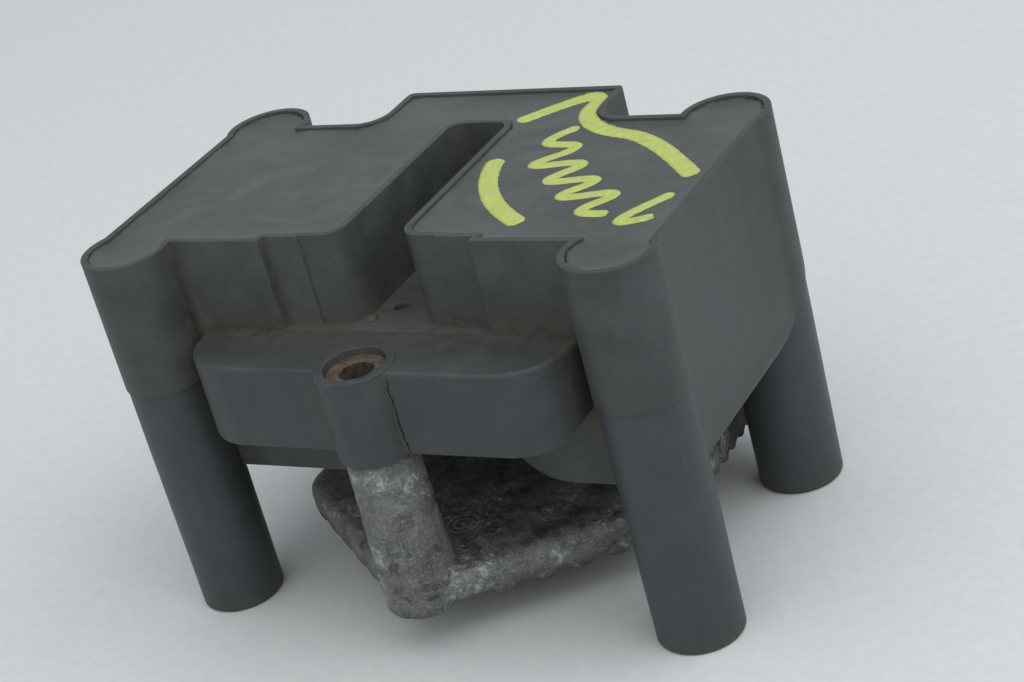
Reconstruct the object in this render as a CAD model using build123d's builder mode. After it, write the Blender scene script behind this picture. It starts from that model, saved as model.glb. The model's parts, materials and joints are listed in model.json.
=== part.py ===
from build123d import *
import os
from math import hypot, sqrt

# Four-tower ignition coil pack, in millimetres.
# It stands on the mouths of its four high-voltage towers. Z is up and X runs along the core bar.
# The front (-Y) carries the single mounting ear and the rear (+Y) carries the connector.
# The origin is the bottom centre of the whole part.

# ---- driving dimensions: towers
tower_pitch_x = 109.6  # centre distance along the core bar
tower_pitch_y = 56.0  # centre distance front to rear
tower_mouth_radius = 8.9
tower_root_radius = 9.1
tower_bore_radius = 7.2
tower_bore_depth = 36.0
tower_mouth_round = 0.8
socket_radius = 5.4  # narrow part of the bore, around the terminal
socket_top = 57.5
parting_height = 54.5  # above this line the tower runs on as a lobe of the case

# ---- driving dimensions: case
case_top = 84.2
case_floor = 38.5
wall = 2.0
lobe_radius = 9.45
side_inset = 0.7  # the side walls stand inside the outermost line of the towers
front_wall_setback = 2.8  # front wall behind the front tower row
panel_step = 1.8  # the panels beside the slot stand further back
panel_half_width = 24.2
inner_panel_step = 0.5
inner_panel_half_width = 15.8
rim_width = 1.4
resin_gap = 0.7  # potting surface below the rim
slot_half_width = 6.8
slot_end_gap = 1.2  # end of the slot in front of the rear tower row
slot_end_round = 3.0
slot_mouth_round = 5.0
vent_radius = 1.7
vent_depth = 1.4
vent_setback = 12.7
vent_offset = -1.9

# ---- driving dimensions: core bar, ears and bushes
ledge_height = 64.2  # top of the core bar and floor of the slot
bar_bottom = 46.4
bar_tower_gap = 2.4  # between the bar's ends and the lobes
bar_reach = 12.8  # front face of the bar ahead of the front tower row
bar_plan_round = 13.0
bar_end_round = 5.5
bar_edge_round = 1.0
ear_radius = 8.2
ear_bottom = 45.6
ear_lip = 0.3
ear_edge_round = 1.6
front_ear_reach = 10.0
rear_ear_x = 37.5
rear_ear_reach = 8.4
bush_radius = 6.35
bush_bore_radius = 3.5  # clearance for an M6 bolt
bush_recess = 1.0
bush_chamfer = 0.4

# ---- driving dimensions: driver compartment and connector
driver_ear_gap = 3.1  # between the compartment and the rear ears
driver_reach = 15.0  # rear face behind the rear tower row
driver_depth = 31.0
driver_fillet = 6.0
driver_corner_round = 1.5
skirt_thickness = 2.5
skirt_bottom = 31.0
skirt_left_end = 19.0  # where the skirt's lower edge starts to curve up, left and right of the middle
skirt_right_end = 33.0
skirt_curve = 12.5
side_curve = 20.0  # lower rear corner of the side walls, up to the parting line of the rear towers
side_curve_reach = 5.5  # upper end of that curve behind the rear tower row
rear_sill_bottom = 36.6
shroud_length = 17.0
shroud_width = 31.0
shroud_height = 15.0
shroud_wall = 1.8
shroud_round = 3.0
shroud_centre_z = 51.5
latch_length = 6.0
latch_width = 9.0
latch_height = 1.8
pin_count = 4
pin_pitch = 6.0
pin_width = 2.8
pin_thickness = 0.8
pin_reach = 11.0  # blade length beyond the rear wall

# ---- driving dimensions: heat sink
plate_bottom = 10.0
plate_top = 16.5
plate_edge_round = 2.4
plate_tip_x = 37.0
plate_tip_setback = 22.0
plate_tip_radius = 7.5
plate_tower_gap = 1.5
fin_bottom = 8.4
fin_thickness = 2.2
fin_pitch = 5.0
fin_inset = 0.3
first_fin_reach = 4.0
pillar_top_radius = 7.3
pillar_base_radius = 8.2
pillar_foot_round = 3.4
pedestal_rise = 1.2
pedestal_gap = 0.5
sealant_inset = 0.25
sealant_height = 1.0

# ---- driving dimensions: core and windings
core_height = 12.6
leg_width = 12.0
yoke_cover = 1.9  # plastic in front of the front yoke
yoke_depth = 11.0
yoke_round = 9.5
yoke_end_cover = 2.9  # plastic beyond the ends of the yokes
rear_yoke_depth = 10.0
yoke_bush_gap = 0.6
bobbin_start = 8.0  # bobbins behind the front tower row
rear_yoke_gap = 6.5  # rear yoke in front of the rear tower row
primary_wall = 1.1
primary_wire = 1.9  # height of the primary winding
primary_flange = 1.1
secondary_wall = 1.2
secondary_wire = 2.3  # height of the secondary winding
secondary_rib = 3.0
secondary_rib_thickness = 1.2
chamber_count = 6

# ---- driving dimensions: terminals, leads and electronics
terminal_radius = 3.1
terminal_length = 17.0
stem_radius = 1.6
terminal_head_radius = 2.8
terminal_head = 1.0
lead_radius = 0.8
resin_depth = 8.4
lead_bend = 2.0
tie_radius = 0.6
tie_bend = 1.5
board_side_gap = 2.2
board_depth = 24.0
board_thickness = 1.2
pad_thickness = 0.5
transistor_length = 10.0
transistor_depth = 9.0
transistor_height = 4.4
transistor_x = 11.0
tie_board_inset = 3.5
pin_board_inset = 2.0

# ---- places worked out from them
half_x = tower_pitch_x / 2
overall_depth = ear_radius + front_ear_reach + tower_pitch_y + driver_reach + shroud_length
row_front = ear_radius + front_ear_reach - overall_depth / 2
row_rear = row_front + tower_pitch_y
rows = {"front": row_front, "rear": row_rear}
sides = {"left": -1, "right": 1}
tower_centres = [(s * half_x, y) for s in sides.values() for y in rows.values()]
side_x = half_x + tower_root_radius - side_inset
bar_half_length = half_x - lobe_radius - bar_tower_gap
driver_half_width = rear_ear_x - ear_radius - driver_ear_gap
yoke_half_length = bar_half_length - yoke_end_cover
leg_x = yoke_half_length - leg_width / 2
front_wall_y = row_front + front_wall_setback
panel_y = front_wall_y + panel_step
inner_panel_y = panel_y + inner_panel_step
slot_end_y = row_rear - slot_end_gap
driver_rear_y = row_rear + driver_reach
driver_front_y = driver_rear_y - driver_depth
ears = {
    "front": (0.0, row_front - front_ear_reach),
    "rear_left": (-rear_ear_x, row_rear + rear_ear_reach),
    "rear_right": (rear_ear_x, row_rear + rear_ear_reach),
}
rear_ears = [ears["rear_left"], ears["rear_right"]]
upper_floor = ledge_height + wall
slot_roof = ledge_height - wall
bar_front_y = row_front - bar_reach
bush_top = ledge_height - bush_recess
core_z = (bar_bottom + ledge_height) / 2
core_low = core_z - core_height / 2
yoke_front_y = bar_front_y + yoke_cover
yoke_rear_y = yoke_front_y + yoke_depth
bobbin_front_y = row_front + bobbin_start
bobbin_rear_y = row_rear - rear_yoke_gap - rear_yoke_depth
bobbin_length = bobbin_rear_y - bobbin_front_y
resin_top = case_top - resin_gap
resin_bottom = resin_top - resin_depth
lead_height = resin_bottom - lead_radius
pedestal_top = plate_top + pedestal_rise
housing_bottom = plate_top + sealant_height
board_low = pedestal_top + pad_thickness
board_high = board_low + board_thickness
board_y = driver_rear_y - driver_depth / 2
board_width = 2 * (driver_half_width - wall - board_side_gap)
board_rear_y = board_y + board_depth / 2

FRONT_DOWN = (Align.CENTER, Align.MIN)  # a rectangle that starts at its location and runs back
STAND = (Align.CENTER, Align.CENTER, Align.MIN)  # a solid that stands on its location


def at(corners, points):
    """The corners that lie at any of the given points of the XY plane."""
    return [c for c in corners if any(hypot(c.X - x, c.Y - y) < 0.05 for x, y in points)]


def both(x, y):
    """The point and its mirror image across the YZ plane."""
    return [(-x, y), (x, y)]


def block_outline():
    """Plan of the case between the towers, with the driver compartment behind it."""
    with BuildSketch() as plan:
        with Locations((0, front_wall_y)):
            Rectangle(2 * side_x, row_rear - front_wall_y, align=FRONT_DOWN)
        with Locations((0, row_rear)):
            Rectangle(2 * driver_half_width, driver_reach, align=FRONT_DOWN)
        fillet(at(plan.vertices(), both(driver_half_width, row_rear)), driver_fillet)
        fillet(at(plan.vertices(), both(driver_half_width, driver_rear_y)), driver_corner_round)
    return plan.sketch


def rim_outline():
    """Plan of the case above the ledge: the block, its four lobes and the open slot."""
    with BuildSketch() as plan:
        add(block_outline())
        with Locations(*tower_centres):
            Circle(lobe_radius)
        for half_width, back_y in (
            (panel_half_width, panel_y),
            (inner_panel_half_width, inner_panel_y),
            (slot_half_width, slot_end_y),
        ):
            with Locations((0, front_wall_y)):
                Rectangle(2 * half_width, back_y - front_wall_y, align=FRONT_DOWN, mode=Mode.SUBTRACT)
        fillet(at(plan.vertices(), both(slot_half_width, slot_end_y)), slot_end_round)
        fillet(at(plan.vertices(), both(slot_half_width, inner_panel_y)), slot_mouth_round)
    return plan.sketch


rim_plan = rim_outline()
rim_inside = offset(rim_plan, -rim_width, kind=Kind.INTERSECTION)
pieces = {}

# ---- laminated core
with BuildPart() as core_front_yoke:
    with BuildSketch(Plane.XY.offset(core_low)) as yoke_plan:
        with Locations((0, yoke_front_y)):
            Rectangle(2 * yoke_half_length, yoke_depth, align=FRONT_DOWN)
        front_corners = at(yoke_plan.vertices(), both(yoke_half_length, yoke_front_y))
        fillet(front_corners, yoke_round)
        with Locations(ears["front"]):
            Circle(bush_radius + yoke_bush_gap, mode=Mode.SUBTRACT)
    extrude(amount=core_height)
pieces["core_front_yoke"] = core_front_yoke

with BuildPart() as core_rear_yoke:
    with BuildSketch(Plane.XY.offset(core_low)):
        with Locations((0, bobbin_rear_y)):
            Rectangle(2 * yoke_half_length, rear_yoke_depth, align=FRONT_DOWN)
    extrude(amount=core_height)
pieces["core_rear_yoke"] = core_rear_yoke

for side, sign in sides.items():
    with BuildPart() as core_leg:
        with BuildSketch(Plane.XY.offset(core_low)):
            with Locations((sign * leg_x, yoke_rear_y)):
                Rectangle(leg_width, bobbin_rear_y - yoke_rear_y, align=FRONT_DOWN)
        extrude(amount=core_height)
    pieces[f"core_leg_{side}"] = core_leg

# ---- windings: each layer is wound over the one inside it
primary_inside = 0.0
primary_seat = primary_inside + primary_wall
primary_outside = primary_seat + primary_wire
secondary_seat = primary_outside + secondary_wall
secondary_wound = secondary_seat + secondary_wire
secondary_outside = secondary_seat + secondary_rib
chamber_pitch = (bobbin_length - secondary_rib_thickness) / chamber_count
chamber_length = chamber_pitch - secondary_rib_thickness


def sleeve(sign, inner, outer, front_y, length):
    """A square tube round a core leg, between two distances from the leg's faces."""
    with BuildPart() as tube:
        with BuildSketch(Plane.XZ.offset(-front_y)):
            with Locations((sign * leg_x, core_z)):
                RectangleRounded(leg_width + 2 * outer, core_height + 2 * outer, outer * 0.7)
                if inner > 0:
                    RectangleRounded(leg_width + 2 * inner, core_height + 2 * inner, inner * 0.7,
                                     mode=Mode.SUBTRACT)
                else:
                    Rectangle(leg_width, core_height, mode=Mode.SUBTRACT)
        extrude(amount=-length)
    return tube.part


for side, sign in sides.items():
    with BuildPart() as primary_bobbin:
        add(sleeve(sign, primary_inside, primary_seat, bobbin_front_y, bobbin_length))
        for flange_y in (bobbin_front_y, bobbin_rear_y - primary_flange):
            add(sleeve(sign, primary_seat, primary_outside, flange_y, primary_flange))
    pieces[f"primary_bobbin_{side}"] = primary_bobbin

    with BuildPart() as primary_winding:
        add(sleeve(sign, primary_seat, primary_outside, bobbin_front_y + primary_flange,
                   bobbin_length - 2 * primary_flange))
    pieces[f"primary_winding_{side}"] = primary_winding

    with BuildPart() as secondary_bobbin:
        add(sleeve(sign, primary_outside, secondary_seat, bobbin_front_y, bobbin_length))
        for n in range(chamber_count + 1):
            rib_y = bobbin_front_y + n * chamber_pitch
            add(sleeve(sign, secondary_seat, secondary_outside, rib_y, secondary_rib_thickness))
    pieces[f"secondary_bobbin_{side}"] = secondary_bobbin

    with BuildPart() as secondary_winding:
        for n in range(chamber_count):
            chamber_y = bobbin_front_y + n * chamber_pitch + secondary_rib_thickness
            add(sleeve(sign, secondary_seat, secondary_wound, chamber_y, chamber_length))
    pieces[f"secondary_winding_{side}"] = secondary_winding

# ---- towers, their terminals and the leads from the windings
rib_top = core_z + core_height / 2 + secondary_outside

for row, y in rows.items():
    for side, sign in sides.items():
        x = sign * half_x
        with BuildPart() as hv_tower:
            with Locations((x, y, 0)):
                Cone(tower_mouth_radius, tower_root_radius, case_floor, align=STAND)
            with Locations((x, y, case_floor)):
                Cylinder(tower_root_radius, parting_height - case_floor, align=STAND)
            with Locations((x, y, 0)):
                Cylinder(tower_bore_radius, tower_bore_depth, align=STAND, mode=Mode.SUBTRACT)
                Cylinder(socket_radius, parting_height, align=STAND, mode=Mode.SUBTRACT)
            fillet(hv_tower.edges().group_by(Axis.Z)[0], tower_mouth_round)
        pieces[f"hv_tower_{row}_{side}"] = hv_tower

        with BuildPart() as hv_terminal:
            with Locations((x, y, socket_top - terminal_length)):
                Cylinder(terminal_radius, terminal_length, align=STAND)
            fillet(hv_terminal.edges().group_by(Axis.Z)[0], terminal_radius * 0.4)
            with Locations((x, y, socket_top)):
                Cylinder(stem_radius, upper_floor - socket_top, align=STAND)
            with Locations((x, y, upper_floor)):
                Cylinder(terminal_head_radius, terminal_head, align=STAND)
        pieces[f"hv_terminal_{row}_{side}"] = hv_terminal

        coil_y = bobbin_front_y + secondary_rib_thickness / 2
        if row == "rear":
            coil_y = bobbin_rear_y - secondary_rib_thickness / 2
        with BuildPart() as hv_lead:
            with BuildLine() as route:
                FilletPolyline(
                    (sign * leg_x, coil_y, rib_top),
                    (sign * leg_x, coil_y, lead_height),
                    (x, coil_y, lead_height),
                    (x, y, lead_height),
                    (x, y, upper_floor + terminal_head),
                    radius=lead_bend,
                )
            with BuildSketch(Plane(origin=route.line @ 0, z_dir=route.line % 0)):
                Circle(lead_radius)
            sweep()
        pieces[f"hv_lead_{row}_{side}"] = hv_lead

# ---- case
with BuildPart() as coil_case:
    with BuildSketch(Plane.XY.offset(case_floor)):
        add(block_outline())
    extrude(amount=ledge_height - case_floor)
    with BuildSketch(Plane.XY.offset(ledge_height)):
        add(rim_plan)
    extrude(amount=case_top - ledge_height)
    with BuildSketch(Plane.XY.offset(parting_height)):
        with Locations(*tower_centres):
            Circle(lobe_radius)
    extrude(amount=ledge_height - parting_height)

    # front skirt: two webs whose lower edges curve up towards the middle
    skirt_rise = case_floor - skirt_bottom
    curve_run = sqrt(skirt_curve**2 - (skirt_curve - skirt_rise) ** 2)
    for sign, end in ((-1, skirt_left_end), (1, skirt_right_end)):
        with BuildSketch(Plane.XZ.offset(-front_wall_y)):
            with BuildLine():
                curve_top = (sign * (end - curve_run), case_floor)
                Polyline(curve_top, (sign * half_x, case_floor), (sign * half_x, skirt_bottom),
                         (sign * end, skirt_bottom))
                RadiusArc((sign * end, skirt_bottom), curve_top, sign * skirt_curve)
            make_face()
        extrude(amount=-skirt_thickness)

    # outer halves of the rear lobes, down to a curve that runs into the side walls' lower edge
    side_rise = parting_height - case_floor
    side_run = sqrt(side_curve**2 - (side_curve - side_rise) ** 2)
    curve_end_y = row_rear + side_curve_reach
    for sign in sides.values():
        with BuildSketch(Plane.XY.offset(case_floor)):
            with Locations((sign * half_x, row_rear)):
                Circle(lobe_radius)
                Rectangle(lobe_radius, 2 * lobe_radius, mode=Mode.INTERSECT,
                          align=(Align.MIN if sign > 0 else Align.MAX, Align.CENTER))
        extrude(amount=side_rise)
        with BuildSketch(Plane.YZ.offset(sign * half_x)):
            with BuildLine():
                curve_start = (curve_end_y - side_run, case_floor)
                curve_end = (curve_end_y, parting_height)
                Polyline(curve_end, (row_rear + 2 * lobe_radius, parting_height),
                         (row_rear + 2 * lobe_radius, case_floor), curve_start)
                RadiusArc(curve_start, curve_end, -side_curve)
            make_face()
        extrude(amount=sign * 2 * lobe_radius, mode=Mode.SUBTRACT)

    # rear sill, on both sides of the driver compartment
    with Locations(*[(x, row_rear, rear_sill_bottom) for x, _ in both((half_x + driver_half_width) / 2, 0)]):
        Box(half_x - driver_half_width, wall, case_floor - rear_sill_bottom,
            align=(Align.CENTER, Align.MAX, Align.MIN))

    # rear ears
    with BuildSketch(Plane.XY.offset(ear_bottom)):
        for ear_x, ear_y in rear_ears:
            with Locations((ear_x, ear_y)):
                Circle(ear_radius)
            with Locations((ear_x, row_rear)):
                Rectangle(2 * ear_radius - 2, ear_y - row_rear, align=FRONT_DOWN)
    extrude(amount=ledge_height + ear_lip - ear_bottom)

    # winding chamber below the slot floor, beside the slot and above it
    for low, high, slot_passes in (
        (case_floor + wall, slot_roof, False),
        (slot_roof, upper_floor, True),
    ):
        with BuildSketch(Plane.XY.offset(low)):
            with Locations((0, front_wall_y + wall)):
                Rectangle(2 * (side_x - wall), row_rear - front_wall_y - 2 * wall, align=FRONT_DOWN)
            with Locations(*tower_centres):
                Circle(lobe_radius, mode=Mode.SUBTRACT)
            if slot_passes:
                for half_width, back_y in ((panel_half_width, inner_panel_y), (slot_half_width, slot_end_y)):
                    with Locations((0, front_wall_y)):
                        Rectangle(2 * (half_width + wall), back_y + wall - front_wall_y,
                                  align=FRONT_DOWN, mode=Mode.SUBTRACT)
        extrude(amount=high - low, mode=Mode.SUBTRACT)
    with BuildSketch(Plane.XY.offset(upper_floor)):
        add(rim_inside)
    extrude(amount=case_top - upper_floor, mode=Mode.SUBTRACT)

    # driver compartment, open downwards
    with BuildSketch(Plane.XY.offset(case_floor)):
        with Locations((0, driver_front_y + wall)):
            Rectangle(2 * (driver_half_width - wall), driver_depth - 2 * wall, align=FRONT_DOWN)
    extrude(amount=slot_roof - case_floor, mode=Mode.SUBTRACT)
    with BuildSketch(Plane.XY.offset(slot_roof)):
        with Locations((0, slot_end_y + wall)):
            Rectangle(2 * (driver_half_width - wall), driver_rear_y - 2 * wall - slot_end_y, align=FRONT_DOWN)
    extrude(amount=upper_floor - slot_roof, mode=Mode.SUBTRACT)

    # passages for the towers, terminals, core legs, rear bushes, pins and the vent of the slot
    with Locations(*[(x, y, skirt_bottom) for x, y in tower_centres]):
        Cylinder(tower_root_radius, parting_height - skirt_bottom, align=STAND, mode=Mode.SUBTRACT)
    with Locations(*[(x, y, parting_height) for x, y in tower_centres]):
        Cylinder(socket_radius, socket_top - parting_height, align=STAND, mode=Mode.SUBTRACT)
        Cylinder(stem_radius, upper_floor - parting_height, align=STAND, mode=Mode.SUBTRACT)
    with Locations(*[(sign * leg_x, front_wall_y, core_z) for sign in sides.values()]):
        Box(leg_width, 2 * wall, core_height, align=(Align.CENTER, Align.MIN, Align.CENTER),
            mode=Mode.SUBTRACT)
    with Locations(*[(x, y, ear_bottom) for x, y in rear_ears]):
        Cylinder(bush_radius, case_top - ear_bottom, align=STAND, mode=Mode.SUBTRACT)
    with Locations((0, driver_rear_y - wall, shroud_centre_z)):
        with GridLocations(pin_pitch, 1, pin_count, 1):
            Box(pin_width, 2 * wall, pin_thickness, mode=Mode.SUBTRACT)
    with Locations((vent_offset, row_front + vent_setback, ledge_height)):
        Cylinder(vent_radius, 2 * vent_depth, mode=Mode.SUBTRACT)
pieces["coil_case"] = coil_case

with BuildPart() as potting_resin:
    with BuildSketch(Plane.XY.offset(resin_bottom)):
        add(rim_inside)
    extrude(amount=resin_top - resin_bottom)
pieces["potting_resin"] = potting_resin

# ---- cover moulded over the front yoke, with the front ear
with BuildPart() as core_cover:
    with BuildSketch(Plane.XY.offset(bar_bottom)) as bar_plan:
        with Locations((0, bar_front_y)):
            Rectangle(2 * bar_half_length, front_wall_y - bar_front_y, align=FRONT_DOWN)
        fillet(at(bar_plan.vertices(), both(bar_half_length, bar_front_y)), bar_plan_round)
    extrude(amount=ledge_height - bar_bottom)
    with BuildSketch(Plane.XZ.offset(-bar_front_y)) as bar_face:
        with Locations((0, bar_bottom)):
            Rectangle(2 * bar_half_length, ledge_height - bar_bottom, align=FRONT_DOWN)
        fillet(at(bar_face.sketch_local.vertices(), both(bar_half_length, bar_bottom)), bar_end_round)
    extrude(amount=bar_front_y - front_wall_y, mode=Mode.INTERSECT)
    top_edges = core_cover.edges().group_by(Axis.Z)[-1]
    fillet([e for e in top_edges if e.center().Y < front_wall_y - 0.1], bar_edge_round)
    with Locations((*ears["front"], ear_bottom)):
        Cylinder(ear_radius, ledge_height + ear_lip - ear_bottom, align=STAND)
        Cylinder(bush_radius, case_top - ear_bottom, align=STAND, mode=Mode.SUBTRACT)
    add(core_front_yoke.part, mode=Mode.SUBTRACT)
    with Locations(*[(sign * leg_x, yoke_rear_y, core_z) for sign in sides.values()]):
        Box(leg_width, front_wall_y - yoke_rear_y, core_height,
            align=(Align.CENTER, Align.MIN, Align.CENTER), mode=Mode.SUBTRACT)
pieces["core_cover"] = core_cover

for ear, (x, y) in ears.items():
    with BuildPart() as mount_bush:
        with Locations((x, y, ear_bottom)):
            Cylinder(bush_radius, bush_top - ear_bottom, align=STAND)
            Cylinder(bush_bore_radius, bush_top - ear_bottom, align=STAND, mode=Mode.SUBTRACT)
        chamfer(mount_bush.edges().group_by(Axis.Z)[-1], bush_chamfer)
    pieces[f"mount_bush_{ear}"] = mount_bush


# ---- heat sink under the case
def plate_plan(inset):
    """Hull round the three pillars and the two side tips, cut clear of the rear towers."""
    with BuildSketch() as plan:
        with Locations(*ears.values()):
            Circle(pillar_base_radius - plate_edge_round - inset)
        with Locations(*both(plate_tip_x, row_front + plate_tip_setback)):
            Circle(plate_tip_radius - inset)
        make_hull()
        with Locations(*both(half_x, row_rear)):
            Circle(tower_root_radius + plate_tower_gap + inset, mode=Mode.SUBTRACT)
    return plan.sketch


first_fin_y = row_front - first_fin_reach
fin_count = int((row_rear + rear_ear_reach - first_fin_y) / fin_pitch) + 1

with BuildPart() as heat_sink:
    with BuildSketch(Plane.XY.offset(plate_bottom)):
        add(plate_plan(0))
    extrude(amount=plate_top - plate_bottom)
    fillet(heat_sink.edges().group_by(Axis.Z)[-1], plate_edge_round)
    with BuildSketch(Plane.XY.offset(fin_bottom)):
        add(plate_plan(fin_inset))
        with Locations((0, first_fin_y + (fin_count - 1) * fin_pitch / 2)):
            with GridLocations(1, fin_pitch, 1, fin_count):
                Rectangle(4 * half_x, fin_thickness, mode=Mode.INTERSECT)
    extrude(amount=plate_bottom - fin_bottom)
    for x, y in ears.values():
        with BuildPart(mode=Mode.PRIVATE) as pillar:
            with Locations((x, y, fin_bottom)):
                Cone(pillar_base_radius, pillar_top_radius, ear_bottom - fin_bottom, align=STAND)
            fillet(pillar.edges().group_by(Axis.Z)[0], pillar_foot_round)
        add(pillar.part)
    with Locations((0, driver_front_y + wall + pedestal_gap, plate_top)):
        Box(2 * (driver_half_width - wall - pedestal_gap), driver_depth - 2 * (wall + pedestal_gap),
            pedestal_rise, align=(Align.CENTER, Align.MIN, Align.MIN))
    with Locations(*[(x, y, fin_bottom) for x, y in ears.values()]):
        Cylinder(bush_bore_radius, ear_bottom - fin_bottom, align=STAND, mode=Mode.SUBTRACT)
pieces["heat_sink"] = heat_sink


# ---- driver compartment below the case
def compartment_ring(inset, ring_wall):
    """Plan of the compartment's wall, set in from its outside by the inset."""
    with BuildSketch() as ring:
        with Locations((0, board_y)):
            RectangleRounded(2 * (driver_half_width - inset), driver_depth - 2 * inset, driver_corner_round)
            Rectangle(2 * (driver_half_width - inset - ring_wall), driver_depth - 2 * (inset + ring_wall),
                      mode=Mode.SUBTRACT)
    return ring.sketch


with BuildPart() as driver_housing:
    with BuildSketch(Plane.XY.offset(housing_bottom)):
        add(compartment_ring(0, wall))
    extrude(amount=case_floor - housing_bottom)
pieces["driver_housing"] = driver_housing

with BuildPart() as housing_sealant:
    with BuildSketch(Plane.XY.offset(plate_top)):
        add(compartment_ring(sealant_inset, wall - 2 * sealant_inset))
    extrude(amount=sealant_height)
pieces["housing_sealant"] = housing_sealant

with BuildPart() as thermal_pad:
    with Locations((0, board_y, pedestal_top)):
        Box(board_width, board_depth, pad_thickness, align=STAND)
pieces["thermal_pad"] = thermal_pad

with BuildPart() as driver_board:
    with Locations((0, board_y, board_low)):
        Box(board_width, board_depth, board_thickness, align=STAND)
pieces["driver_board"] = driver_board

for side, sign in sides.items():
    with BuildPart() as power_transistor:
        with Locations((sign * transistor_x, board_y, board_high)):
            Box(transistor_length, transistor_depth, transistor_height, align=STAND)
        chamfer(power_transistor.edges().group_by(Axis.Z)[-1], 0.5)
    pieces[f"power_transistor_{side}"] = power_transistor

    tie_z = core_low - primary_seat - primary_wire / 2
    tie_x = sign * (board_width / 2 - tie_board_inset)
    tie_y = board_y - board_depth / 2 + tie_board_inset
    with BuildPart() as primary_lead:
        with BuildLine() as route:
            FilletPolyline(
                (tie_x, tie_y, board_high),
                (tie_x, tie_y, tie_z),
                (sign * leg_x, tie_y, tie_z),
                (sign * leg_x, bobbin_rear_y, tie_z),
                radius=tie_bend,
            )
        with BuildSketch(Plane(origin=route.line @ 0, z_dir=route.line % 0)):
            Circle(tie_radius)
        sweep()
    pieces[f"primary_lead_{side}"] = primary_lead

# ---- connector: four blades that turn down onto the board, inside an open shroud
pin_y = board_rear_y - pin_board_inset

with BuildPart() as connector_pins:
    with Locations((0, pin_y, shroud_centre_z)):
        with GridLocations(pin_pitch, 1, pin_count, 1):
            Box(pin_width, driver_rear_y + pin_reach - pin_y, pin_thickness,
                align=(Align.CENTER, Align.MIN, Align.CENTER))
    chamfer(connector_pins.edges().group_by(Axis.Y)[-1].filter_by(Axis.X), pin_thickness * 0.3)
    with Locations((0, pin_y, board_high)):
        with GridLocations(pin_pitch, 1, pin_count, 1):
            Box(pin_width, pin_thickness, shroud_centre_z - board_high,
                align=(Align.CENTER, Align.MIN, Align.MIN))
pieces["connector_pins"] = connector_pins

with BuildPart() as connector_shroud:
    with BuildSketch(Plane.XZ.offset(-driver_rear_y)):
        with Locations((0, shroud_centre_z)):
            RectangleRounded(shroud_width, shroud_height, shroud_round)
            RectangleRounded(shroud_width - 2 * shroud_wall, shroud_height - 2 * shroud_wall,
                             shroud_round - shroud_wall, mode=Mode.SUBTRACT)
    extrude(amount=-shroud_length)
    latch_z = shroud_centre_z + shroud_height / 2
    with BuildSketch(Plane.YZ):
        with BuildLine():
            latch_y = driver_rear_y + shroud_length / 2
            Polyline(
                (latch_y - latch_length / 2, latch_z),
                (latch_y - latch_length / 2, latch_z + latch_height),
                (latch_y, latch_z + latch_height),
                (latch_y + latch_length / 2, latch_z),
                close=True,
            )
        make_face()
    extrude(amount=latch_width / 2, both=True)
pieces["connector_shroud"] = connector_shroud

os.makedirs("parts", exist_ok=True)
for name, piece in pieces.items():
    piece.part.label = name
    export_step(piece.part, f"parts/{name}.step")
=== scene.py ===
import json
import math

import bmesh
import bpy
from mathutils import Matrix, Vector, kdtree, noise


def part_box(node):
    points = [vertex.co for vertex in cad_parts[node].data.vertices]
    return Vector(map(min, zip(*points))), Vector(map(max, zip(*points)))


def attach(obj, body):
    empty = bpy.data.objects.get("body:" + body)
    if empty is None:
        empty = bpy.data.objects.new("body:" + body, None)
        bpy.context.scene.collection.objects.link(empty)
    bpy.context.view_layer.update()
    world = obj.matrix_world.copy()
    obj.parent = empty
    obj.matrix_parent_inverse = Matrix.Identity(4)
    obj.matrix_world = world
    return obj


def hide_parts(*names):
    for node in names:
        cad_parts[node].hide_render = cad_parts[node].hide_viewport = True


MM = 0.001
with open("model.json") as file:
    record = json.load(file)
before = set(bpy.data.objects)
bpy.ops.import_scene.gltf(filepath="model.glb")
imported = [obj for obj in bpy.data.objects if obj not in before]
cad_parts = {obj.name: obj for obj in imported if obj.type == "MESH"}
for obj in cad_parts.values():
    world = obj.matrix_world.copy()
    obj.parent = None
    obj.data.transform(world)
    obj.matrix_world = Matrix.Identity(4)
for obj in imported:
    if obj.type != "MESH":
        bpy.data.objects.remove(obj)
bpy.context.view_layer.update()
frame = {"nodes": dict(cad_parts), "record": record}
nodes = frame["nodes"]
YOKE_COVER = 1.9 * MM  # plastic in front of the front yoke
BUSH_RECESS = 1.0 * MM  # end of the bush below the ledge

CAMERA_AZIMUTH = math.radians(33.7)
CAMERA_ELEVATION = math.radians(26.48)
CAMERA_ROLL = math.radians(15.3)
CAMERA_DISTANCE = 497.4 * MM
CAMERA_TARGET = Vector((4.8, 2.4, 42.0)) * MM
CAMERA_LENS = 83.7
SENSOR_WIDTH = 36.0

WORLD_COLOUR = (0.93, 0.97, 1.0, 1.0)
WORLD_STRENGTH = 0.66
# name: degrees from the front, degrees up, metres away, metres across, watts, colour
LIGHTS = {
    "window": (92, 46, 1.3, 1.3, 5.8, (0.95, 0.98, 1.0)),
    "ceiling": (30, 80, 1.4, 1.7, 7.6, (1.0, 0.99, 0.97)),
    "fill": (-10, 32, 1.5, 1.2, 0.9, (0.97, 0.99, 1.0)),
}

# edge rounding of the moulded pieces, in millimetres
SOFT_EDGES = {"coil_case": 0.45, "core_cover": 0.3, "driver_housing": 0.4, "connector_shroud": 0.3}

# where the casting shows white bloom and the ejector's mark, in millimetres
FOOT_BLOOM = (9.5, -40.5, 16.0)
EJECTOR_MARK = (1.7, -28.1, 16.5)
MARK_RADIUS = 4.4
RING_PITCH = 1.7
RING_HEIGHT = 0.22

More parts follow.
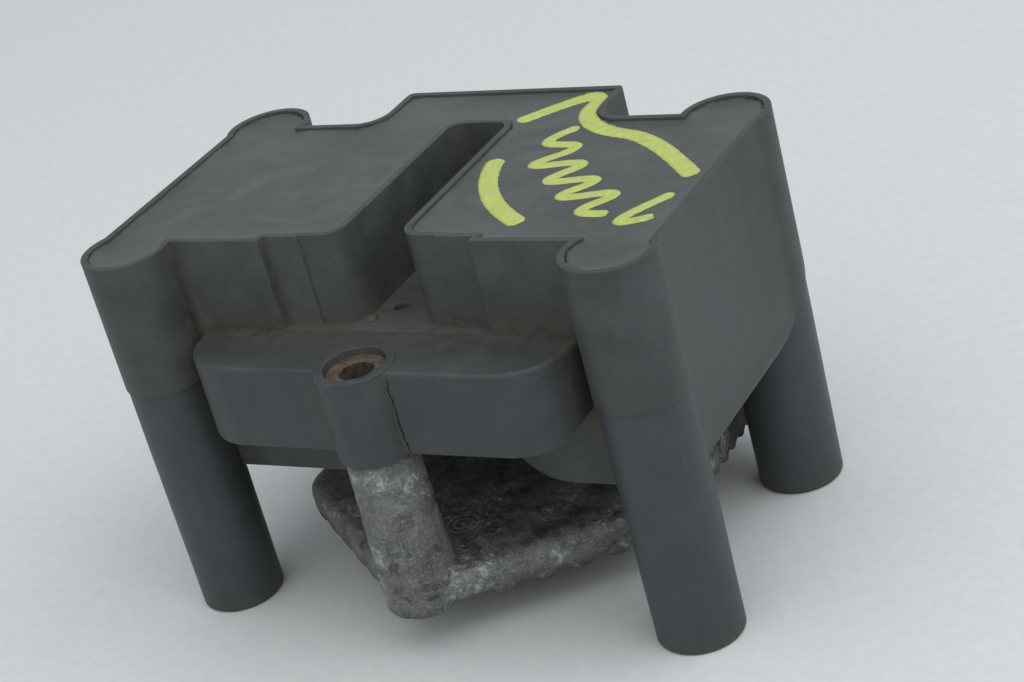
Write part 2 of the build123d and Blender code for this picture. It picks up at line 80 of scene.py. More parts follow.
# paths of the paint strokes across the potting, in millimetres, and the width of each
MARKER_STROKES = {
    "chevron": (3.8, ((8, 21), (16, 31), (23, 33), (22, 24), (29, 16), (44, 12), (59, -5))),
    "bow": (3.9, ((12, 4), (14, -12), (31, -24))),
    "hatching": (2.7, ((24, 18), (16, 10), (31, 10), (18, -1), (36, 3), (25, -8), (42, -4), (31, -15),
                       (49, -10), (38, -21), (48, -20))),
    "tick": (2.6, ((58, -12), (45, -29), (58, -21))),
}
PAINT_THICKNESS = 0.06 * MM
PAINT_RAGGEDNESS = 0.10

# the crack beside the front ear
CRACK_X = 8.05
CRACK_BELOW_LEDGE = (1.6, 18.0)
CRACK_STEPS = 34

# the stub of the mould's gate: place, radius and height
STUB_PLACE = (-6.1 * MM, -27.4 * MM)
STUB_RADIUS = 1.5 * MM
STUB_HEIGHT = 0.8 * MM


# ---------------------------------------------------------------- shader building blocks
class Shader:
    """A node material whose textures all read the object's own coordinates, in millimetres."""

    def __init__(self, name):
        self.material = bpy.data.materials.new(name)
        self.material.use_nodes = True
        self.tree = self.material.node_tree
        self.bsdf = self.tree.nodes["Principled BSDF"]
        coordinates = self.add("ShaderNodeTexCoord")
        scale = self.add("ShaderNodeVectorMath", operation="SCALE")
        self.tree.links.new(coordinates.outputs["Object"], scale.inputs[0])
        scale.inputs["Scale"].default_value = 1 / MM
        self.place = scale.outputs[0]
        split = self.add("ShaderNodeSeparateXYZ")
        self.tree.links.new(self.place, split.inputs[0])
        self.x, self.y, self.z = split.outputs[0], split.outputs[1], split.outputs[2]

    def add(self, kind, **settings):
        node = self.tree.nodes.new(kind)
        for key, value in settings.items():
            setattr(node, key, value)
        return node

    def feed(self, socket, value):
        if isinstance(value, bpy.types.NodeSocket):
            self.tree.links.new(value, socket)
        else:
            socket.default_value = value

    def stretched(self, x, y, z):
        node = self.add("ShaderNodeVectorMath", operation="MULTIPLY")
        self.feed(node.inputs[0], self.place)
        node.inputs[1].default_value = (x, y, z)
        return node.outputs[0]

    def noise(self, size, detail=4, rough=0.55, place=None, warp=0.0):
        """Soft noise whose blotches are about size millimetres across."""
        node = self.add("ShaderNodeTexNoise")
        self.feed(node.inputs["Vector"], place or self.place)
        node.inputs["Scale"].default_value = 1 / size
        node.inputs["Detail"].default_value = detail
        node.inputs["Roughness"].default_value = rough
        node.inputs["Distortion"].default_value = warp
        return node.outputs["Fac"]

    def cells(self, size, place=None, feature="F1"):
        node = self.add("ShaderNodeTexVoronoi", feature=feature)
        self.feed(node.inputs["Vector"], place or self.place)
        node.inputs["Scale"].default_value = 1 / size
        return node.outputs["Distance"]

    def ramp(self, value, low, high, from_value=0.0, to_value=1.0):
        node = self.add("ShaderNodeMapRange", interpolation_type="SMOOTHSTEP")
        self.feed(node.inputs["Value"], value)
        node.inputs["From Min"].default_value = low
        node.inputs["From Max"].default_value = high
        node.inputs["To Min"].default_value = from_value
        node.inputs["To Max"].default_value = to_value
        return node.outputs[0]

    def math(self, operation, a, b=0.0):
        node = self.add("ShaderNodeMath", operation=operation, use_clamp=False)
        self.feed(node.inputs[0], a)
        self.feed(node.inputs[1], b)
        return node.outputs[0]

    def times(self, *values):
        result = values[0]
        for value in values[1:]:
            result = self.math("MULTIPLY", result, value)
        return result

    def most(self, *values):
        result = values[0]
        for value in values[1:]:
            result = self.math("MAXIMUM", result, value)
        return result

    def blend(self, amount, a, b):
        node = self.add("ShaderNodeMix", data_type="RGBA")
        self.feed(node.inputs["Factor"], amount)
        for socket, value in ((node.inputs["A"], a), (node.inputs["B"], b)):
            self.feed(socket, (*value, 1.0) if isinstance(value, tuple) else value)
        return node.outputs["Result"]

    def corners(self, reach, samples=6):
        """1 in the open and 0 deep in a corner, from how hidden the surface is."""
        node = self.add("ShaderNodeAmbientOcclusion", samples=samples)
        node.inputs["Distance"].default_value = reach * MM
        return node.outputs["AO"]

    def edges(self, radius):
        """1 on convex and concave edges, from how far a rounded normal leans from the true one."""
        bevel = self.add("ShaderNodeBevel", samples=4)
        bevel.inputs["Radius"].default_value = radius * MM
        geometry = self.add("ShaderNodeNewGeometry")
        dot = self.add("ShaderNodeVectorMath", operation="DOT_PRODUCT")
        self.tree.links.new(bevel.outputs[0], dot.inputs[0])
        self.tree.links.new(geometry.outputs["Normal"], dot.inputs[1])
        return self.ramp(dot.outputs["Value"], 0.995, 0.90)

    def facing(self, axis):
        geometry = self.add("ShaderNodeNewGeometry")
        split = self.add("ShaderNodeSeparateXYZ")
        self.tree.links.new(geometry.outputs["Normal"], split.inputs[0])
        return split.outputs["XYZ".index(axis)]

    def bump(self, height, depth, under=None):
        """Bump from a height value, with depth in millimetres for a value of 1."""
        node = self.add("ShaderNodeBump")
        node.inputs["Strength"].default_value = 1.0
        node.inputs["Distance"].default_value = depth * MM
        self.feed(node.inputs["Height"], height)
        if under is not None:
            self.tree.links.new(under, node.inputs["Normal"])
        return node.outputs[0]

    def finish(self, colour, rough, normal=None, metallic=None, specular=0.5):
        self.feed(self.bsdf.inputs["Base Color"], colour)
        self.feed(self.bsdf.inputs["Roughness"], rough)
        self.bsdf.inputs["Specular IOR Level"].default_value = specular
        if normal is not None:
            self.tree.links.new(normal, self.bsdf.inputs["Normal"])
        if metallic is not None:
            self.feed(self.bsdf.inputs["Metallic"], metallic)
        return self.material


# ---------------------------------------------------------------- materials
DUST = (0.086, 0.077, 0.060)
PALE_DUST = (0.20, 0.195, 0.175)


def moulded_plastic(name, base, lighter, dust_share, rough=0.46, scratches=0.0):
    """Charcoal moulded plastic: mottled, dusty in its corners, rubbed pale on its edges."""
    s = Shader(name)
    mottle = s.noise(9, detail=6, rough=0.62)
    colour = s.blend(s.ramp(mottle, 0.35, 0.72), base, lighter)
    fine = s.noise(0.45, detail=3, rough=0.7)
    colour = s.blend(s.times(s.ramp(fine, 0.42, 0.66), 0.22), colour, (0.082, 0.090, 0.090))
    grime = s.noise(3.2, detail=7, rough=0.66, warp=0.6)
    hidden = s.ramp(s.corners(7), 0.92, 0.45)
    dusty = s.times(hidden, s.ramp(grime, 0.30, 0.62), dust_share)
    colour = s.blend(dusty, colour, DUST)
    upward = s.ramp(s.facing("Z"), 0.6, 0.98)
    settled = s.times(upward, s.ramp(s.noise(5, detail=6, rough=0.7), 0.45, 0.75), 0.30 * dust_share)
    colour = s.blend(settled, colour, DUST)
    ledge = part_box("core_cover")[1].z / MM
    in_slot = s.times(s.ramp(s.math("ABSOLUTE", s.x), 9.0, 6.5), s.ramp(s.z, ledge + 20, ledge - 4),
                      s.ramp(s.y, -37, -33), s.ramp(s.y, 26, 22))
    between_towers = s.ramp(s.math("ABSOLUTE", s.x), 45.6, 44.6)
    in_front = s.times(between_towers, s.ramp(s.y, -27, -31), s.ramp(s.y, -43, -34),
                       s.ramp(s.z, ledge + 9, ledge + 0.5), s.ramp(s.z, 40.5, 42.5))
    recess = s.times(s.most(in_slot, in_front), s.ramp(grime, 0.30, 0.60), 0.60 * dust_share)
    colour = s.blend(recess, colour, DUST)
    specks = s.times(s.ramp(s.cells(2.1), 0.12, 0.04), s.ramp(s.noise(14, detail=2), 0.5, 0.62), 0.35)
    colour = s.blend(specks, colour, PALE_DUST)
    worn = s.times(s.edges(0.5), s.ramp(s.noise(1.8, detail=5, rough=0.7), 0.42, 0.66), 0.5)
    colour = s.blend(worn, colour, (0.13, 0.145, 0.155))
    lines = s.ramp(s.noise(1.0, detail=3, rough=0.6, place=s.stretched(2.2, 1.6, 0.06)), 0.62, 0.74)
    lines = s.times(lines, s.ramp(s.noise(11, detail=3), 0.45, 0.62), scratches)
    colour = s.blend(lines, colour, (0.15, 0.16, 0.16))
    roughness = s.math("ADD", s.ramp(mottle, 0.3, 0.7, rough, rough + 0.10), s.times(dusty, 0.35))
    grain = s.bump(fine, 0.026)
    waves = s.bump(s.noise(16, detail=2), 0.22, under=grain)
    return s.finish(colour, roughness, normal=waves, specular=0.42)


def potting_surface():
    """Satin epoxy with cloudy smears and painted sheen, a dull film, painted shade in its corners and fine
    scratches.
    """
    s = Shader("potting_resin")
    smear_and_sheen_clouds = s.noise(17, detail=6, rough=0.6, warp=1.2)
    film = s.noise(6, detail=8, rough=0.7, place=s.stretched(0.55, 1.3, 1.0), warp=0.8)
    # real smears mixed with painted sheen: broad lighter and darker clouds over the resin
    colour = s.blend(s.ramp(smear_and_sheen_clouds, 0.34, 0.68), (0.044, 0.050, 0.049), (0.076, 0.084, 0.081))
    colour = s.blend(s.times(s.ramp(film, 0.50, 0.72), 0.38), colour, (0.108, 0.115, 0.110))
    dark = s.times(s.ramp(s.noise(8, detail=5, rough=0.65, warp=0.5), 0.60, 0.78), 0.4)
    colour = s.blend(dark, colour, (0.044, 0.048, 0.047))
    # painted shade: the resin darker where it meets the walls and in its corners
    hidden = s.ramp(s.corners(3), 0.95, 0.6)
    colour = s.blend(s.times(hidden, 0.2), colour, (0.045, 0.044, 0.040))
    roughness = s.ramp(smear_and_sheen_clouds, 0.3, 0.7, 0.34, 0.50)
    fine = s.bump(s.noise(0.8, detail=4, rough=0.7), 0.012)
    return s.finish(colour, roughness, normal=s.bump(s.noise(13, detail=3), 0.30, under=fine), specular=0.5)


def corroded_aluminium():
    """Die-cast aluminium gone dull: grey mottling, white bloom, dark stains, and painted shade under the
    case, on the fins and in corners.
    """
    s = Shader("cast_aluminium")
    broad = s.noise(6, detail=7, rough=0.70, warp=0.3)
    fine = s.noise(0.7, detail=7, rough=0.74)
    colour = s.blend(s.ramp(broad, 0.32, 0.68), (0.070, 0.076, 0.071), (0.205, 0.216, 0.203))
    colour = s.blend(s.times(s.ramp(fine, 0.50, 0.70), 0.60), colour, (0.36, 0.37, 0.35))
    drags = s.noise(1.0, detail=4, rough=0.7, place=s.stretched(0.35, 0.35, 2.4), warp=0.4)
    colour = s.blend(s.times(s.ramp(drags, 0.54, 0.66), 0.40), colour, (0.30, 0.285, 0.25))
    warm = s.times(s.ramp(s.noise(4.5, detail=6, rough=0.7), 0.52, 0.70), 0.45)
    colour = s.blend(warm, colour, (0.165, 0.145, 0.105))
    off_foot = s.add("ShaderNodeVectorMath", operation="DISTANCE")
    s.feed(off_foot.inputs[0], s.place)
    off_foot.inputs[1].default_value = FOOT_BLOOM
    near_foot = s.ramp(off_foot.outputs["Value"], 9.0, 4.0)
    off_mark = s.add("ShaderNodeVectorMath", operation="DISTANCE")
    s.feed(off_mark.inputs[0], s.place)
    off_mark.inputs[1].default_value = EJECTOR_MARK
    reach = off_mark.outputs["Value"]
    rings = s.times(s.ramp(s.math("SINE", s.math("MULTIPLY", reach, 4.2)), 0.0, 0.9), s.ramp(reach, 4.8, 4.0))
    near_mark = s.times(s.ramp(reach, 15.0, 5.0), 0.8)
    bloom = s.times(s.ramp(s.noise(1.5, detail=9, rough=0.80, warp=0.4), 0.50, 0.62),
                    s.most(s.ramp(s.noise(12, detail=3), 0.48, 0.62), near_foot, near_mark))
    bloom = s.most(bloom, s.times(rings, s.ramp(fine, 0.35, 0.6), 0.7))
    colour = s.blend(s.times(bloom, 0.75), colour, (0.50, 0.545, 0.55))
    stain = s.times(s.ramp(s.noise(7, detail=6, rough=0.68, warp=0.3), 0.54, 0.66), 0.78)
    # painted shadow: the plate's top darker towards the back, under the case
    under = s.times(s.ramp(s.y, -34, -12), s.ramp(s.z, 22, 17), 0.15)
    # painted shade: the fins darker towards the bottom
    below = s.times(s.ramp(s.z, 13.0, 9.5), s.ramp(broad, 0.40, 0.60), 0.7)
    under = s.most(under, below)
    # real dark stains and painted shade blended in one step
    colour = s.blend(s.most(stain, under), colour, (0.036, 0.038, 0.036))
    # painted shade: the casting darker in its corners
    hidden = s.ramp(s.corners(4), 0.6, 0.2)
    colour = s.blend(s.times(hidden, 0.5), colour, (0.040, 0.038, 0.033))
    metallic = s.times(s.ramp(fine, 0.35, 0.60, 0.5, 0.15), s.ramp(bloom, 0, 0.5, 1.0, 0.0))
    rough_cast = s.bump(fine, 0.16)
    pits = s.bump(s.ramp(s.cells(0.9), 0.0, 0.35), 0.10, under=rough_cast)
    return s.finish(colour, s.ramp(broad, 0.3, 0.7, 0.55, 0.78), normal=pits, metallic=metallic)


def rusted_steel():
    s = Shader("bush_steel")
    patches = s.noise(1.6, detail=7, rough=0.7, warp=0.5)
    colour = s.blend(s.ramp(patches, 0.36, 0.62), (0.036, 0.030, 0.025), (0.125, 0.082, 0.052))
    bare = s.ramp(s.noise(0.9, detail=6, rough=0.7), 0.56, 0.70)
    colour = s.blend(s.times(bare, 0.40), colour, (0.22, 0.175, 0.135))
    # painted shade: the bush darker in its hollows and corners
    hidden = s.ramp(s.corners(3), 0.8, 0.3)
    colour = s.blend(s.times(hidden, 0.7), colour, (0.022, 0.016, 0.011))
    metallic = s.times(bare, 0.6)
    normal = s.bump(s.noise(0.5, detail=6, rough=0.75), 0.16)
    return s.finish(colour, s.ramp(patches, 0.3, 0.7, 0.55, 0.85), normal=normal, metallic=metallic)


def brushed_metal(name, base, lighter, rough, stretch=(1, 1, 1)):
    s = Shader(name)
    streaks = s.noise(0.8, detail=5, rough=0.65, place=s.stretched(*stretch))
    colour = s.blend(s.ramp(streaks, 0.3, 0.7), base, lighter)
    tarnish = s.times(s.ramp(s.noise(2.5, detail=5), 0.5, 0.7), 0.4)
    colour = s.blend(tarnish, colour, tuple(0.45 * c for c in base))
    normal = s.bump(streaks, 0.02)
    return s.finish(colour, s.ramp(streaks, 0.3, 0.7, rough, rough + 0.15), normal=normal, metallic=0.9)


def plain_compound(name, base, lighter, rough):
    """Silicone, epoxy or board laminate: a fine mottle and a dusty film."""
    s = Shader(name)
    mottle = s.noise(1.4, detail=5, rough=0.6)
    colour = s.blend(s.ramp(mottle, 0.3, 0.7), base, lighter)
    film = s.times(s.ramp(s.noise(6, detail=4), 0.5, 0.7), 0.25)
    colour = s.blend(film, colour, DUST)
    normal = s.bump(s.noise(0.4, detail=3), 0.02)
    return s.finish(colour, s.ramp(mottle, 0.3, 0.7, rough, rough + 0.12), normal=normal)


def marker_paint():
    """Yellow-green paint marker, thin and streaky along its edges."""
    s = Shader("marker_paint")
    streak = s.noise(1.6, detail=6, rough=0.7, warp=0.8)
    colour = s.blend(s.ramp(streak, 0.36, 0.70), (0.41, 0.48, 0.120), (0.51, 0.59, 0.148))
    thin = s.times(s.ramp(s.noise(3.0, detail=6, rough=0.7), 0.54, 0.74), 0.40)
    colour = s.blend(thin, colour, (0.24, 0.285, 0.11))
    return s.finish(colour, s.ramp(streak, 0.3, 0.7, 0.42, 0.60), normal=s.bump(streak, 0.016))


def crack_shadow():
    """The dark inside of a hairline crack."""
    s = Shader("crack_shadow")
    colour = s.blend(s.ramp(s.noise(0.6), 0.3, 0.7), (0.006, 0.006, 0.006), (0.014, 0.013, 0.011))
    return s.finish(colour, 0.95, normal=s.bump(s.noise(0.3), 0.02), specular=0.05)


LOOKS = {
    "case_plastic": moulded_plastic("case_plastic", (0.036, 0.042, 0.0435), (0.055, 0.063, 0.0645), 1.0,
                                    scratches=0.35),
    "cover_plastic": moulded_plastic("cover_plastic", (0.034, 0.0405, 0.0430), (0.047, 0.0540, 0.0560), 0.8,
                                     scratches=0.4),
    "tower_plastic": moulded_plastic("tower_plastic", (0.035, 0.042, 0.0450), (0.047, 0.055, 0.0585), 0.4,
                                     rough=0.42, scratches=0.15),
    "potting_resin": potting_surface(),
    "cast_aluminium": corroded_aluminium(),
    "bush_steel": rusted_steel(),
    "core_steel": brushed_metal("core_steel", (0.30, 0.30, 0.31), (0.42, 0.42, 0.44), 0.35, (0.2, 0.2, 4)),
    "bobbin_plastic": plain_compound("bobbin_plastic", (0.60, 0.56, 0.46), (0.68, 0.64, 0.54), 0.45),
    "copper_wire": brushed_metal("copper_wire", (0.50, 0.19, 0.08), (0.70, 0.30, 0.14), 0.28, (0.5, 6, 0.5)),
    "lead_wire": brushed_metal("lead_wire", (0.58, 0.54, 0.46), (0.70, 0.66, 0.58), 0.30),
    "terminal_brass": brushed_metal("terminal_brass", (0.50, 0.36, 0.15), (0.68, 0.52, 0.25), 0.30),
    "board_laminate": plain_compound("board_laminate", (0.50, 0.48, 0.42), (0.58, 0.56, 0.50), 0.40),
    "transistor_epoxy": plain_compound("transistor_epoxy", (0.020, 0.020, 0.022), (0.035, 0.035, 0.037),
                                       0.45),
    "silicone": plain_compound("silicone", (0.36, 0.37, 0.36), (0.44, 0.45, 0.44), 0.50),
    "marker_paint": marker_paint(),
}
SLOT_OF = {row["node"]: row["material_slot"] for row in frame["record"]["subparts"]}

for node_name, cad_object in nodes.items():
    cad_object.data.materials.clear()
    cad_object.data.materials.append(LOOKS[SLOT_OF[node_name]])


# ---------------------------------------------------------------- detailed pieces over the CAD nodes
def new_piece(name, mesh, slot_name, stands_for=()):
    piece = bpy.data.objects.new(name, mesh)
    bpy.context.scene.collection.objects.link(piece)
    mesh.materials.clear()
    mesh.materials.append(LOOKS[slot_name])
    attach(piece, "root")
    if stands_for:
        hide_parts(*stands_for)
    return piece


def softened(node_name, radius, segments=3, sharp=math.radians(32)):
    """The node's own mesh with its hard edges rounded off, in place of the CAD node."""
    work = bmesh.new()
    work.from_mesh(nodes[node_name].data)
    bmesh.ops.remove_doubles(work, verts=work.verts, dist=0.002 * MM)
    bmesh.ops.dissolve_limit(work, angle_limit=math.radians(0.5), verts=work.verts, edges=work.edges)
    hard = [e for e in work.edges if len(e.link_faces) == 2 and e.calc_face_angle(0) > sharp]
    bmesh.ops.bevel(work, geom=hard, offset=radius * MM, segments=segments, affect="EDGES",
                    offset_type="OFFSET", clamp_overlap=True, profile=0.5)
    mesh = bpy.data.meshes.new(node_name + "_rounded")
    work.to_mesh(mesh)
    work.free()
    mesh.shade_smooth()
    mesh.set_sharp_from_angle(angle=math.radians(35))
    return new_piece(node_name + "_rounded", mesh, SLOT_OF[node_name], [node_name])


def remeshed(node_name, voxel, smooth_rounds):
    """A copy of the node rebuilt on an even grid, so that its edges and surface can be worked."""
    mesh = nodes[node_name].data.copy()
    copy = bpy.data.objects.new("work", mesh)
    bpy.context.scene.collection.objects.link(copy)
    remesh = copy.modifiers.new("even", "REMESH")
    remesh.mode = "VOXEL"
    remesh.voxel_size = voxel * MM
    smooth = copy.modifiers.new("soft", "SMOOTH")
    smooth.factor = 0.5
    smooth.iterations = smooth_rounds
    depsgraph = bpy.context.evaluated_depsgraph_get()
    result = bpy.data.meshes.new_from_object(copy.evaluated_get(depsgraph))
    bpy.data.objects.remove(copy)
    result.shade_smooth()
    return result


def rough_cast(mesh, depth, size):
    """Moves the surface in and out along its normals by layered noise."""
    shift = []
    for vertex in mesh.vertices:
        place = vertex.co / (size * MM)
        amount = noise.fractal(place, 0.8, 2.1, 4) - 0.25
        shift.append(vertex.co + vertex.normal * amount * depth * MM)
    for vertex, place in zip(mesh.vertices, shift):
        vertex.co = place


def keep_within(mesh, box):
    """No vertex leaves the node's own box."""
    low, high = box
    for vertex in mesh.vertices:
        vertex.co = [min(max(value, a), b) for value, a, b in zip(vertex.co, low, high)]


def ejector_mark(mesh, centre, radius, ring_pitch, height):
    """Shallow concentric rings on the upward face round a point."""
    for vertex in mesh.vertices:
        distance = (vertex.co - centre).length
        if vertex.normal.z > 0.7 and distance < radius:
            wave = math.cos(2 * math.pi * distance / ring_pitch)
            vertex.co.z += height * wave * (1 - distance / radius)


def cast_heat_sink():
    mesh = remeshed("heat_sink", 0.55, 3)
    rough_cast(mesh, 0.16, 2.6)
    mark = Vector((EJECTOR_MARK[0] * MM, EJECTOR_MARK[1] * MM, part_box("housing_sealant")[0].z))
    ejector_mark(mesh, mark, MARK_RADIUS * MM, RING_PITCH * MM, RING_HEIGHT * MM)
    keep_within(mesh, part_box("heat_sink"))
    return new_piece("heat_sink_casting", mesh, "cast_aluminium", ["heat_sink"])


def potting_pool():
    """The resin with a slightly uneven face that climbs a little way up the case's wall."""
    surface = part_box("potting_resin")[1].z
    mesh = remeshed("potting_resin", 0.8, 0)
    border = [v.co for v in mesh.vertices if abs(v.normal.z) < 0.8 and v.co.z > surface - 1.5 * MM]
    tree = kdtree.KDTree(len(border))
    for index, place in enumerate(border):
        tree.insert(place, index)
    tree.balance()
    climb, reach, sag = 0.45 * MM, 1.3 * MM, 0.12 * MM
    for vertex in mesh.vertices:
        if vertex.co.z < surface - 0.5 * MM:
            continue
        distance = tree.find(vertex.co)[2]
        wave = noise.fractal(vertex.co / (16 * MM), 0.9, 2.0, 3)
        vertex.co.z = surface + climb * math.exp(-distance / reach) + sag * (wave - 0.5)
    return new_piece("potting_pool", mesh, "potting_resin", ["potting_resin"])


# ---------------------------------------------------------------- marks that are on the surface
def ribbon(name, slot_name, path, width, ground, lift, ragged, step=0.35 * MM):
    """A thin band along a smooth path, laid on a surface, with an uneven edge and tapering ends."""
    curve = bpy.data.curves.new(name + "_path", "CURVE")
    curve.dimensions = "3D"
    curve.resolution_u = 24
    spline = curve.splines.new("NURBS")
    spline.points.add(len(path) - 1)
    for point, (x, y) in zip(spline.points, path):
        point.co = (x * MM, y * MM, 0, 1)
    spline.order_u = 3
    spline.use_endpoint_u = True
    carrier = bpy.data.objects.new(name + "_path", curve)
    sampled = bpy.data.meshes.new_from_object(carrier)
    places = [v.co.copy() for v in sampled.vertices]
    bpy.data.objects.remove(carrier)
    bpy.data.curves.remove(curve)
    bpy.data.meshes.remove(sampled)
    lengths = [0.0]
    for first, second in zip(places, places[1:]):
        lengths.append(lengths[-1] + (second - first).length)
    total = lengths[-1]
    across = 7
    work = bmesh.new()
    rows = []
    for n in range(int(total / step) + 1):
        along = min(n * step, total)
        index = max(1, next(i for i, length in enumerate(lengths) if length >= along - 1e-9))
        share = (along - lengths[index - 1]) / max(lengths[index] - lengths[index - 1], 1e-9)
        centre = places[index - 1].lerp(places[index], share)
        direction = (places[index] - places[index - 1]).normalized()
        side = Vector((-direction.y, direction.x, 0))
        end = min(along, total - along) / (0.5 * width * MM)
        taper = math.sqrt(max(0.0, 1 - (1 - min(end, 1.0)) ** 2)) + 0.02
        row = []
        for k in range(across):
            offset = 2 * k / (across - 1) - 1
            edge = 1 + ragged * noise.noise(Vector((along / MM * 0.9, offset * 3, len(path))))
            place = centre + side * offset * 0.5 * width * MM * taper * edge
            crown = (1 - offset ** 2) * lift
            place.z = ground(place) + 0.25 * lift + crown
            row.append(work.verts.new(place))
        rows.append(row)
    for first, second in zip(rows, rows[1:]):
        for k in range(across - 1):
            work.faces.new((first[k], second[k], second[k + 1], first[k + 1]))
    border = bmesh.ops.extrude_edge_only(work, edges=[e for e in work.edges if e.is_boundary])
    for element in border["geom"]:
        if isinstance(element, bmesh.types.BMVert):
            element.co.z -= 1.5 * lift
    bmesh.ops.recalc_face_normals(work, faces=work.faces)
    mesh = bpy.data.meshes.new(name)
    work.to_mesh(mesh)
    work.free()
    mesh.shade_smooth()
    return new_piece(name, mesh, slot_name)


def marker_strokes(pool):
    """Strokes of paint marker on the potting: plain bands and hatching."""
    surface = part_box("potting_resin")[1].z

    def ground(place):
        found, spot, _, _ = pool.ray_cast(Vector((place.x, place.y, 0.2)), Vector((0, 0, -1)))
        return spot.z if found else surface
    for name, (width, path) in MARKER_STROKES.items():
        ribbon("marker_" + name, "marker_paint", path, width, ground, PAINT_THICKNESS, PAINT_RAGGEDNESS)


def ear_crack():
    """A jagged hairline down the corner where the ear's right side meets the bar."""
    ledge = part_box("core_cover")[1].z
    front = nodes["core_front_yoke"].data
    face_y = min(v.co.y for v in front.vertices) - YOKE_COVER
    top, bottom = (ledge - depth * MM for depth in CRACK_BELOW_LEDGE)
    work = bmesh.new()
    rows = []
    for n in range(CRACK_STEPS + 1):
        share = n / CRACK_STEPS
        z = top + (bottom - top) * share
        wander = 0.55 * noise.noise(Vector((share * 9, 1.3, 0.0))) + 0.22 * (n % 2) + 0.6 * share
        x = (CRACK_X + wander) * MM
        half = (0.15 + 0.22 * abs(noise.noise(Vector((share * 14, 5.1, 2.0))))) * MM
        if n in (0, CRACK_STEPS):
            half *= 0.1
        rows.append([work.verts.new((x - half, face_y + 0.04 * MM, z)),
                     work.verts.new((x, face_y - 0.09 * MM, z)),
                     work.verts.new((x + half, face_y + 0.04 * MM, z))])
    for first, second in zip(rows, rows[1:]):
        for k in range(2):
            work.faces.new((first[k], second[k], second[k + 1], first[k + 1]))
        work.faces.new((first[2], second[2], second[0], first[0]))
    work.faces.new(rows[0])
    work.faces.new(rows[-1][::-1])
    bmesh.ops.recalc_face_normals(work, faces=work.faces)
    mesh = bpy.data.meshes.new("ear_crack")
    work.to_mesh(mesh)
    work.free()
    piece = new_piece("ear_crack", mesh, "cover_plastic")
    mesh.materials[0] = crack_shadow()
    return piece


def gate_stub():
    """The small worn stub left by the mould at the mouth of the slot."""
    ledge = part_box("mount_bush_front")[1].z + BUSH_RECESS
    work = bmesh.new()
    rings, around = 7, 20
    rows = []
    for n in range(rings):
        angle = math.pi / 2 * n / (rings - 1)
        radius, height = STUB_RADIUS * math.cos(angle) + 0.02 * MM, STUB_HEIGHT * math.sin(angle)
        row = []
        for k in range(around):
            turn = 2 * math.pi * k / around
            wobble = 1 + 0.18 * noise.noise(Vector((math.cos(turn), math.sin(turn), n * 0.4)))
            row.append(work.verts.new((STUB_PLACE[0] + radius * wobble * math.cos(turn),
                                       STUB_PLACE[1] + radius * wobble * math.sin(turn), ledge + height)))
        rows.append(row)
    for first, second in zip(rows, rows[1:]):
        for k in range(around):
            work.faces.new((first[k], first[(k + 1) % around], second[(k + 1) % around], second[k]))
    work.faces.new(rows[-1])
    work.faces.new(rows[0][::-1])
    mesh = bpy.data.meshes.new("gate_stub")
    work.to_mesh(mesh)
    work.free()
    mesh.shade_smooth()
    return new_piece("gate_stub", mesh, "cover_plastic")


for name, radius in SOFT_EDGES.items():
    softened(name, radius)
cast_heat_sink()
marker_strokes(potting_pool())
ear_crack()
gate_stub()
for name in nodes:
    if name.startswith(("hv_tower", "mount_bush")):
        nodes[name].data.set_sharp_from_angle(angle=math.radians(35))


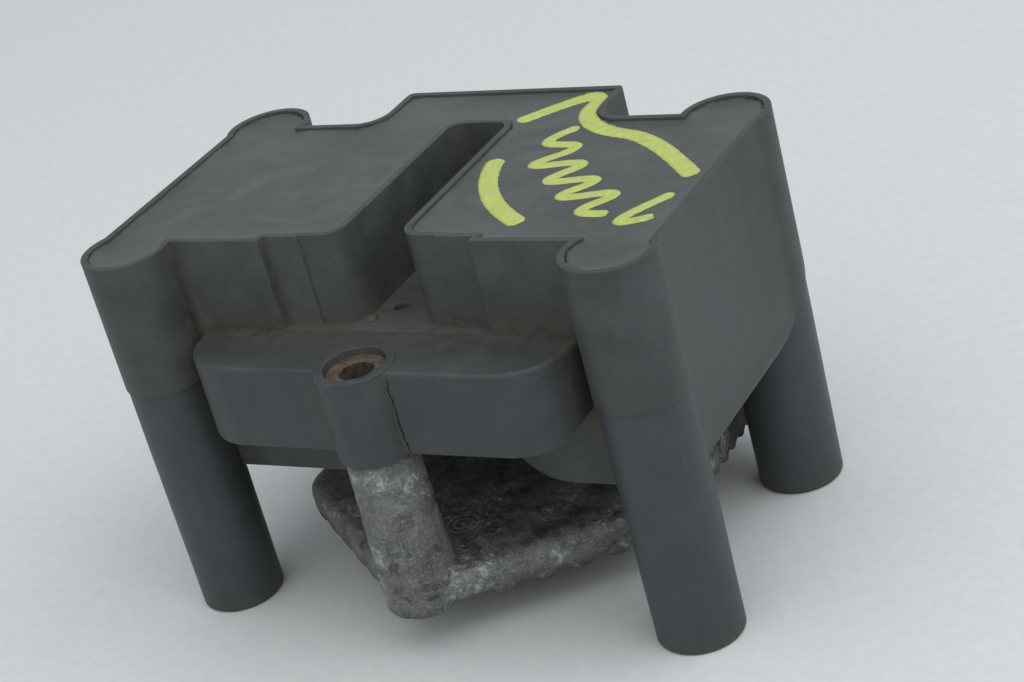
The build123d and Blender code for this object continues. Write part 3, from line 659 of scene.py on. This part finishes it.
# ---------------------------------------------------------------- floor, light and camera
def pale_floor():
    s = Shader("pale_floor")
    colour = s.blend(s.ramp(s.noise(3, detail=4), 0.3, 0.7), (0.63, 0.64, 0.645), (0.66, 0.67, 0.675))
    material = s.finish(colour, 0.85, normal=s.bump(s.noise(1.5, detail=2), 0.05), specular=0.2)
    work = bmesh.new()
    half_width, near_edge, bend_start, bend_radius, wall_height = 2.4, -1.6, 0.9, 0.7, 2.2
    profile = [(near_edge, 0.0), (bend_start, 0.0)]
    steps = 24
    for n in range(1, steps + 1):
        angle = math.pi / 2 * n / steps
        profile.append((bend_start + bend_radius * math.sin(angle), bend_radius * (1 - math.cos(angle))))
    profile.append((bend_start + bend_radius, wall_height))
    rows = [[work.verts.new((x, y, z)) for x in (-half_width, half_width)] for y, z in profile]
    for first, second in zip(rows, rows[1:]):
        work.faces.new((first[0], first[1], second[1], second[0]))
    mesh = bpy.data.meshes.new("pale_floor")
    work.to_mesh(mesh)
    work.free()
    mesh.shade_smooth()
    floor = bpy.data.objects.new("pale_floor", mesh)
    floor.rotation_euler.z = CAMERA_AZIMUTH
    mesh.materials.append(material)
    bpy.context.scene.collection.objects.link(floor)


def soft_light(name, azimuth, elevation, distance, size, power, colour):
    """A square area light that looks at the object from a given direction."""
    lamp = bpy.data.lights.new(name, "AREA")
    lamp.size = size
    lamp.energy = power
    lamp.color = colour
    holder = bpy.data.objects.new(name, lamp)
    away = Vector((math.sin(azimuth) * math.cos(elevation), -math.cos(azimuth) * math.cos(elevation),
                   math.sin(elevation)))
    holder.location = away * distance + Vector((0, 0, 0.04))
    holder.rotation_euler = away.to_track_quat("Z", "Y").to_euler()
    bpy.context.scene.collection.objects.link(holder)


def photo_camera():
    data = bpy.data.cameras.new("photo_camera")
    data.lens = CAMERA_LENS
    data.sensor_width = SENSOR_WIDTH
    data.clip_start = 0.01
    camera = bpy.data.objects.new("photo_camera", data)
    back = Vector((math.sin(CAMERA_AZIMUTH) * math.cos(CAMERA_ELEVATION),
                   -math.cos(CAMERA_AZIMUTH) * math.cos(CAMERA_ELEVATION), math.sin(CAMERA_ELEVATION)))
    level = back.to_track_quat("Z", "Y").to_matrix()
    camera.matrix_world = (Matrix.Translation(CAMERA_TARGET + back * CAMERA_DISTANCE)
                           @ (level @ Matrix.Rotation(-CAMERA_ROLL, 3, "Z")).to_4x4())
    bpy.context.scene.collection.objects.link(camera)
    bpy.context.scene.camera = camera


def studio_world():
    world = bpy.data.worlds.new("studio")
    world.use_nodes = True
    background = world.node_tree.nodes["Background"]
    background.inputs["Color"].default_value = WORLD_COLOUR
    background.inputs["Strength"].default_value = WORLD_STRENGTH
    bpy.context.scene.world = world


pale_floor()
studio_world()
for name, (azimuth, elevation, distance, size, power, colour) in LIGHTS.items():
    soft_light(name, math.radians(azimuth), math.radians(elevation), distance, size, power, colour)
photo_camera()
bpy.context.scene.view_settings.view_transform = "Standard"
